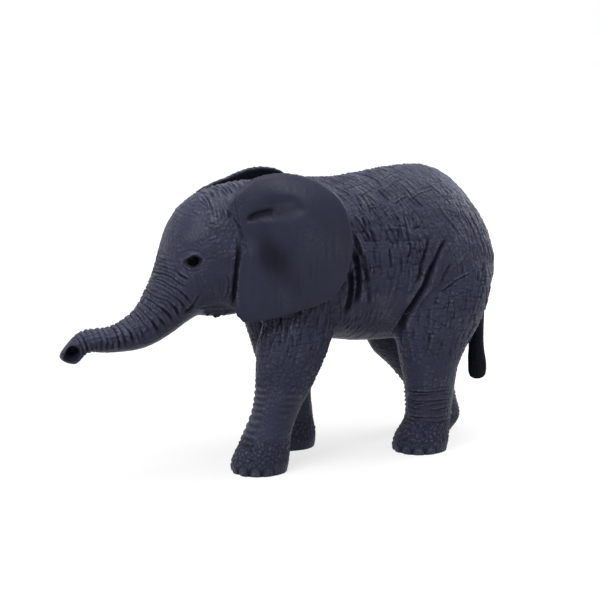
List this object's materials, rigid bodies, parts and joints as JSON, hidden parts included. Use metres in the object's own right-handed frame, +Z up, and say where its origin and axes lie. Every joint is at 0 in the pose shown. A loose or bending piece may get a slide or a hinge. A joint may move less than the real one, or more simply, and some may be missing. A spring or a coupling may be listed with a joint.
{
  "type": "toy wild animal figure",
  "caption": "Walking African elephant calf figure with a forward trunk, broad ears and a hanging tail, standing on flat soles.",
  "frame": {"origin": "centre of the bounding box in plan, on the ground under the soles", "axes": "+X from the trunk towards the tail along the body, +Y towards the right side of the animal, +Z up"},
  "size_m": [0.0926, 0.0354, 0.0597],
  "materials": {
    "skin": "satin dark slate grey PVC",
    "eye": "gloss black"
  },
  "bodies": {
    "root": {"torso": "skin", "head": "skin", "ear_left": "skin", "ear_right": "skin", "foreleg_left": "skin", "foreleg_right": "skin", "hindleg_left": "skin", "hindleg_right": "skin", "tail": "skin", "eye_left": "eye", "eye_right": "eye"}
  },
  "joints": []
}
